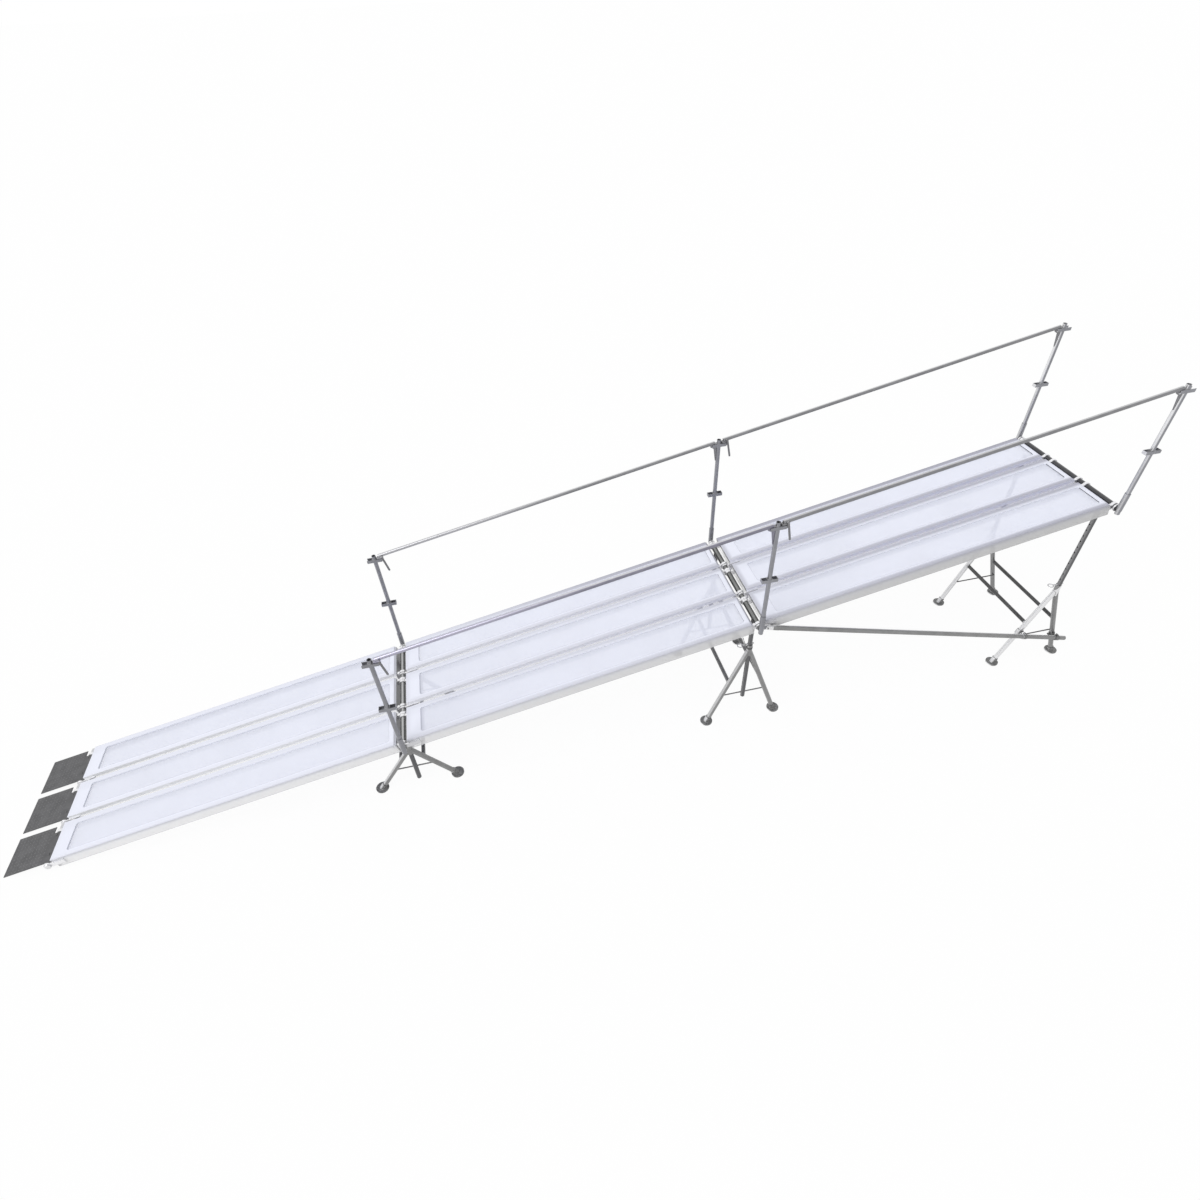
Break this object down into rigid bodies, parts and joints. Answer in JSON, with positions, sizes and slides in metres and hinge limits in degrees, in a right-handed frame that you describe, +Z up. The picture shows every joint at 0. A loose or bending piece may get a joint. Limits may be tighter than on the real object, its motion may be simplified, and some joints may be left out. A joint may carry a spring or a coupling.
{
  "type": "drive-on ramp",
  "caption": "Modular walk-on and drive-on ramp: hollow deck planks on adjustable trestles, with a post and rail guardrail on both sides and hinged transition plates at its foot.",
  "frame": {"origin": "on the ground, in the middle of the ramp's length and width", "axes": "+X runs uphill along the ramp, +Y across the deck to the side away from the brace, +Z up"},
  "size_m": [9.5586, 1.254, 2.8857],
  "materials": {
    "panel": "milky, slightly translucent",
    "plank_frame": "smooth, satin",
    "claw": "bright",
    "transition_plate": "dark, fine raised pattern",
    "cross_tube": "satin",
    "shoe": "satin",
    "mast": "satin",
    "pin": "bright",
    "trestle": "satin",
    "foot_pad": "satin",
    "socket": "satin",
    "post": "satin",
    "bracket": "satin",
    "rail": "satin",
    "lever": "satin",
    "brace": "satin",
    "bolt": "bright",
    "coupler": "bright"
  },
  "bodies": {
    "walkway": {"panel_1_near": "panel", "panel_1_middle": "panel", "panel_1_far": "panel", "panel_2_near": "panel", "panel_2_middle": "panel", "panel_2_far": "panel", "panel_3_near": "panel", "panel_3_middle": "panel", "panel_3_far": "panel", "plank_frames_1": "plank_frame", "plank_frames_2": "plank_frame", "plank_frames_3": "plank_frame", "claws_1": "claw", "claws_2": "claw", "claws_3": "claw", "cross_tube_foot": "cross_tube", "cross_tube_1": "cross_tube", "cross_tube_2": "cross_tube", "cross_tube_top": "cross_tube", "foot_shoes": "shoe", "masts_1": "mast", "masts_2": "mast", "masts_3": "mast", "sockets_1": "socket", "sockets_2": "socket", "sockets_3": "socket", "posts_1": "post", "posts_2": "post", "posts_3": "post", "knee_brackets_1": "bracket", "knee_brackets_2": "bracket", "knee_brackets_3": "bracket", "rail_1_near": "rail", "rail_1_far": "rail", "rail_2_near": "rail", "rail_2_far": "rail", "brace_bolt": "bolt"},
    "base_1": {"trestle_1": "trestle", "foot_pads_1": "foot_pad"},
    "base_2": {"trestle_2": "trestle", "foot_pads_2": "foot_pad"},
    "base_3": {"trestle_3": "trestle", "foot_pads_3": "foot_pad", "leg_couplers": "coupler"},
    "pin_1_near_body": {"pin_1_near": "pin"},
    "pin_1_far_body": {"pin_1_far": "pin"},
    "pin_2_near_body": {"pin_2_near": "pin"},
    "pin_2_far_body": {"pin_2_far": "pin"},
    "pin_3_near_body": {"pin_3_near": "pin"},
    "pin_3_far_body": {"pin_3_far": "pin"},
    "plate_near": {"transition_plate_near": "transition_plate"},
    "plate_middle": {"transition_plate_middle": "transition_plate"},
    "plate_far": {"transition_plate_far": "transition_plate"},
    "lever_1_near_body": {"lever_1_near": "lever"},
    "lever_1_far_body": {"lever_1_far": "lever"},
    "lever_2_near_body": {"lever_2_near": "lever"},
    "lever_2_far_body": {"lever_2_far": "lever"},
    "brace": {"brace_tube": "brace", "tube_couplers": "coupler"}
  },
  "joints": [
    {"name": "trestle_1_height", "type": "slide", "parent": "walkway", "child": "base_1", "axis": [0, 0, -1], "range_m": [0, 0.3]},
    {"name": "trestle_2_height", "type": "slide", "parent": "walkway", "child": "base_2", "axis": [0, 0, -1], "range_m": [0, 0.45]},
    {"name": "trestle_3_height", "type": "slide", "parent": "walkway", "child": "base_3", "axis": [0, 0, -1], "range_m": [0, 0.06]},
    {"name": "pin_1_near_pull", "type": "slide", "parent": "walkway", "child": "pin_1_near_body", "axis": [-1, 0, 0], "range_m": [0, 0.09]},
    {"name": "pin_1_far_pull", "type": "slide", "parent": "walkway", "child": "pin_1_far_body", "axis": [-1, 0, 0], "range_m": [0, 0.09]},
    {"name": "pin_2_near_pull", "type": "slide", "parent": "walkway", "child": "pin_2_near_body", "axis": [-1, 0, 0], "range_m": [0, 0.09]},
    {"name": "pin_2_far_pull", "type": "slide", "parent": "walkway", "child": "pin_2_far_body", "axis": [-1, 0, 0], "range_m": [0, 0.09]},
    {"name": "pin_3_near_pull", "type": "slide", "parent": "walkway", "child": "pin_3_near_body", "axis": [-1, 0, 0], "range_m": [0, 0.09]},
    {"name": "pin_3_far_pull", "type": "slide", "parent": "walkway", "child": "pin_3_far_body", "axis": [-1, 0, 0], "range_m": [0, 0.09]},
    {"name": "plate_near_lift", "type": "hinge", "parent": "walkway", "child": "plate_near", "pos_m": [-4.42082, -0.392, 0.04927], "axis": [0, 1, 0], "range_deg": [0, 100]},
    {"name": "plate_middle_lift", "type": "hinge", "parent": "walkway", "child": "plate_middle", "pos_m": [-4.42082, 0, 0.04927], "axis": [0, 1, 0], "range_deg": [0, 100]},
    {"name": "plate_far_lift", "type": "hinge", "parent": "walkway", "child": "plate_far", "pos_m": [-4.42082, 0.392, 0.04927], "axis": [0, 1, 0], "range_deg": [0, 100]},
    {"name": "lever_1_near_swing", "type": "hinge", "parent": "walkway", "child": "lever_1_near_body", "pos_m": [-1.41678, -0.6251, 1.68908], "axis": [0, -1, 0], "range_deg": [-20, 140]},
    {"name": "lever_1_far_swing", "type": "hinge", "parent": "walkway", "child": "lever_1_far_body", "pos_m": [-1.41678, 0.5789, 1.68908], "axis": [0, -1, 0], "range_deg": [-20, 140]},
    {"name": "lever_2_near_swing", "type": "hinge", "parent": "walkway", "child": "lever_2_near_body", "pos_m": [1.52325, -0.6251, 2.28591], "axis": [0, -1, 0], "range_deg": [-20, 140]},
    {"name": "lever_2_far_swing", "type": "hinge", "parent": "walkway", "child": "lever_2_far_body", "pos_m": [1.52325, 0.5789, 2.28591], "axis": [0, -1, 0], "range_deg": [-20, 140]},
    {"name": "brace_tilt", "type": "hinge", "parent": "walkway", "child": "brace", "pos_m": [1.50925, -0.602, 1.25791], "axis": [0, 1, 0], "range_deg": [0, 1.2]}
  ],
  "couplings": [
    {"joint": "brace_tilt", "follows": "trestle_3_height", "rad_per_m": 0.34305}
  ]
}
